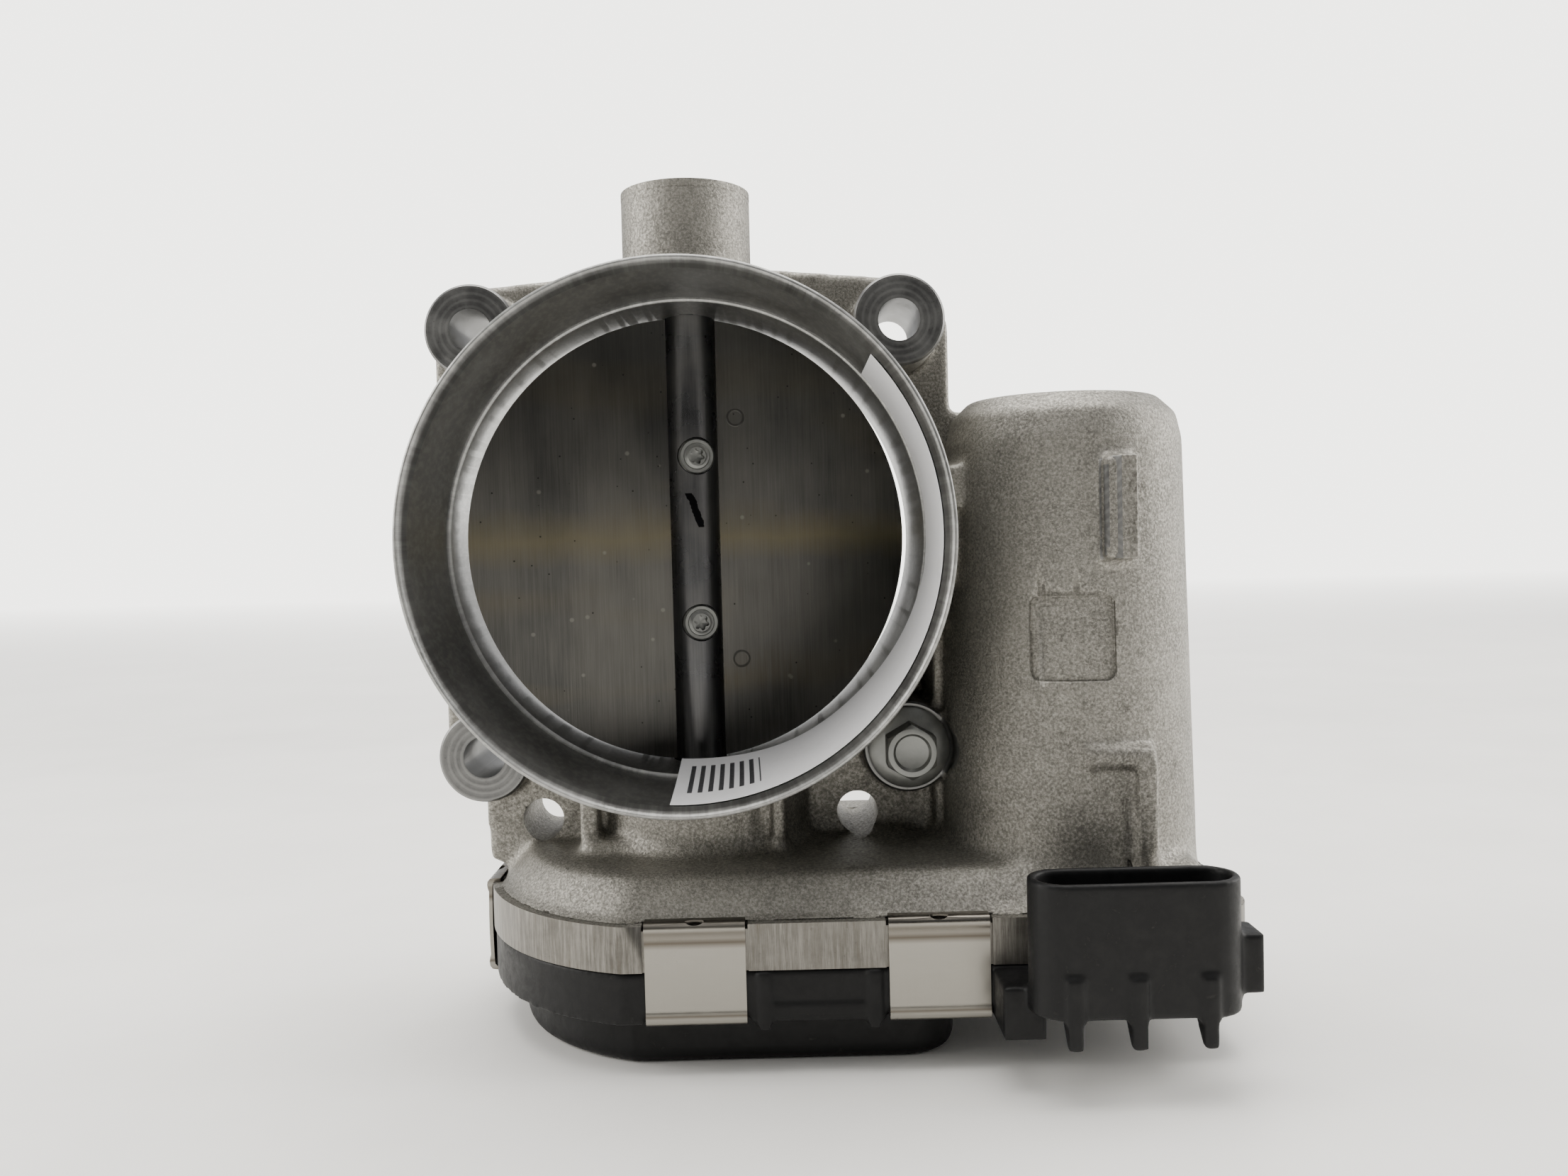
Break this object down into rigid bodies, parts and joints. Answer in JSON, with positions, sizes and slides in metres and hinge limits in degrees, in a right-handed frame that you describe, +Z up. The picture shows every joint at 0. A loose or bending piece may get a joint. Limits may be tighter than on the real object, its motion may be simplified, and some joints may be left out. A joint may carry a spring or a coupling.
{
  "type": "throttle body",
  "caption": "Electronic throttle body: motor-driven butterfly valve in a cast housing with hose collar, four-boss flange, geared drive, clipped plastic cover and side connector.",
  "frame": {"origin": "on the bore's axis, in the plane of the engine flange's face", "axes": "+Y into the engine along the bore, +X from the bore to the motor, +Z up along the throttle shaft"},
  "size_m": [0.1304, 0.0803, 0.139],
  "materials": {
    "cast_aluminium": "die-cast, sandblasted, with machined faces",
    "shaft_steel": "dark ground steel",
    "plate_brass": "brushed, dark with a brown tint",
    "zinc_steel": "zinc plated",
    "bearing_steel": "ground",
    "spring_steel": "drawn wire",
    "seal_rubber": "moulded",
    "gear_plastic": "moulded, natural",
    "black_plastic": "moulded, fine texture",
    "magnet_ferrite": "sintered",
    "motor_steel": "pressed and plated",
    "bush_bronze": "sintered",
    "copper_wire": "enamelled copper",
    "circuit_board": "solder mask",
    "chip_black": "moulded",
    "pin_tin": "tin plated",
    "clip_steel": "bright rolled spring steel",
    "label_paper": "paper label"
  },
  "bodies": {
    "housing": {"housing_casting": "cast_aluminium", "needle_bearing_cup": "bearing_steel", "ball_bearing_outer_ring": "bearing_steel", "shaft_seals": "seal_rubber", "shaft_end_plug": "zinc_steel", "return_spring": "spring_steel", "stop_screw": "zinc_steel", "gear_axle": "bearing_steel", "axle_washers": "spring_steel", "motor_can": "motor_steel", "motor_end_plate": "motor_steel", "motor_magnets": "magnet_ferrite", "motor_bushes": "bush_bronze", "motor_brushes": "magnet_ferrite", "motor_screws": "zinc_steel", "motor_support_spring": "spring_steel", "gear_cover": "black_plastic", "cover_seal": "seal_rubber", "sensor_board": "circuit_board", "sensor_chips": "chip_black", "connector_pins": "pin_tin", "retaining_clips": "clip_steel", "mounting_bolt": "zinc_steel", "inventory_label": "label_paper"},
    "throttle": {"throttle_shaft": "shaft_steel", "throttle_plate": "plate_brass", "plate_screws": "zinc_steel", "ball_bearing_inner_ring": "bearing_steel", "spring_hub": "black_plastic", "sector_gear": "gear_plastic", "sensor_magnet": "magnet_ferrite"},
    "roller_set": {"needle_rollers": "bearing_steel"},
    "ball_set": {"bearing_balls": "bearing_steel"},
    "idler": {"intermediate_gear": "gear_plastic"},
    "rotor": {"motor_shaft": "bearing_steel", "motor_armature": "motor_steel", "motor_windings": "copper_wire", "motor_commutator": "copper_wire", "motor_pinion": "bush_bronze"}
  },
  "joints": [
    {"name": "throttle_turn", "type": "hinge", "parent": "housing", "child": "throttle", "pos_m": [0, -0.013, 0], "axis": [0, 0, 1], "range_deg": [-10, 75], "stiffness_Nm_per_rad": 0.35},
    {"name": "roller_orbit", "type": "hinge", "parent": "housing", "child": "roller_set", "pos_m": [0, -0.013, 0], "axis": [0, 0, 1], "range_deg": [-6, 32]},
    {"name": "ball_orbit", "type": "hinge", "parent": "housing", "child": "ball_set", "pos_m": [0, -0.013, 0], "axis": [0, 0, 1], "range_deg": [-5, 31]},
    {"name": "idler_spin", "type": "hinge", "parent": "housing", "child": "idler", "pos_m": [0.03184, -0.01763, 0], "axis": [0, 0, 1], "range_deg": [-339, 49]},
    {"name": "motor_spin", "type": "hinge", "parent": "housing", "child": "rotor", "pos_m": [0.06195, -0.022, 0], "axis": [0, 0, 1], "range_deg": [-225, 1630]}
  ],
  "couplings": [
    {"joint": "roller_orbit", "follows": "throttle_turn", "ratio": 0.41},
    {"joint": "ball_orbit", "follows": "throttle_turn", "ratio": 0.39},
    {"joint": "idler_spin", "follows": "throttle_turn", "ratio": -4.4615},
    {"joint": "motor_spin", "follows": "throttle_turn", "ratio": 21.621}
  ]
}
